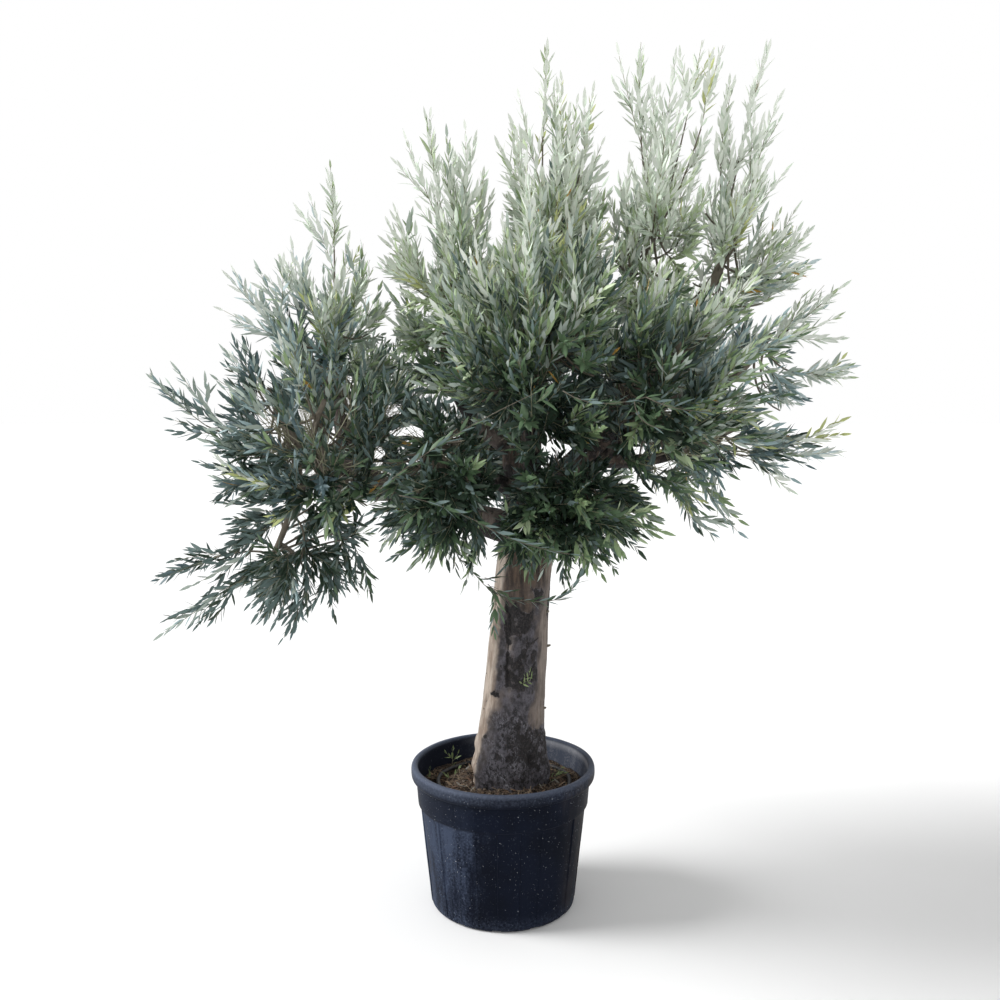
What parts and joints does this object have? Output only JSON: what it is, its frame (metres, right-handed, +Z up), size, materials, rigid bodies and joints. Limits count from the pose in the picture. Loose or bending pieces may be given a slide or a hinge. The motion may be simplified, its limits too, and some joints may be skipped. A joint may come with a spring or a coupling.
{
  "type": "potted olive tree",
  "caption": "Mature olive tree with a stout leaning trunk and a wide, loose evergreen crown, standing in a round black plastic nursery pot.",
  "frame": {"origin": "centre of the pot's flat underside", "axes": "+Z up along the pot's axis, +X along the crown's long spread away from the long low bough, -Y the front"},
  "size_m": [2.424, 1.7245, 2.985],
  "materials": {
    "plastic": "dusty, slightly scuffed, navy black",
    "pipe": "dull black irrigation pipe",
    "soil": "loose brown earth with dry leaves",
    "bark": "rough, tan to reddish brown, with dark fissures",
    "leaves": "satin grey green, paler on the underside"
  },
  "bodies": {
    "root": {"pot": "plastic", "soil": "soil", "drip_ring": "pipe", "trunk": "bark", "bough_left": "bark", "bough_right": "bark", "bough_centre": "bark", "bough_back": "bark", "bough_front": "bark", "bough_left_up": "bark", "bough_left_front": "bark", "bough_left_back": "bark", "bough_left_low": "bark", "bough_centre_left": "bark", "bough_right_up": "bark", "bough_right_out": "bark", "bough_right_low": "bark", "bough_right_front": "bark", "bough_right_back": "bark", "bough_front_low": "bark", "bough_front_left": "bark", "bough_back_low": "bark", "foliage_left_outer": "leaves", "foliage_left_top": "leaves", "foliage_left_front": "leaves", "foliage_left_back": "leaves", "foliage_left_low": "leaves", "foliage_centre_left": "leaves", "foliage_centre_top": "leaves", "foliage_centre_front": "leaves", "foliage_front_left": "leaves", "foliage_front_low": "leaves", "foliage_centre_back": "leaves", "foliage_back_low": "leaves", "foliage_right_top": "leaves", "foliage_right_crest": "leaves", "foliage_right_outer": "leaves", "foliage_right_low": "leaves", "foliage_right_front": "leaves", "foliage_right_back": "leaves"}
  },
  "joints": []
}
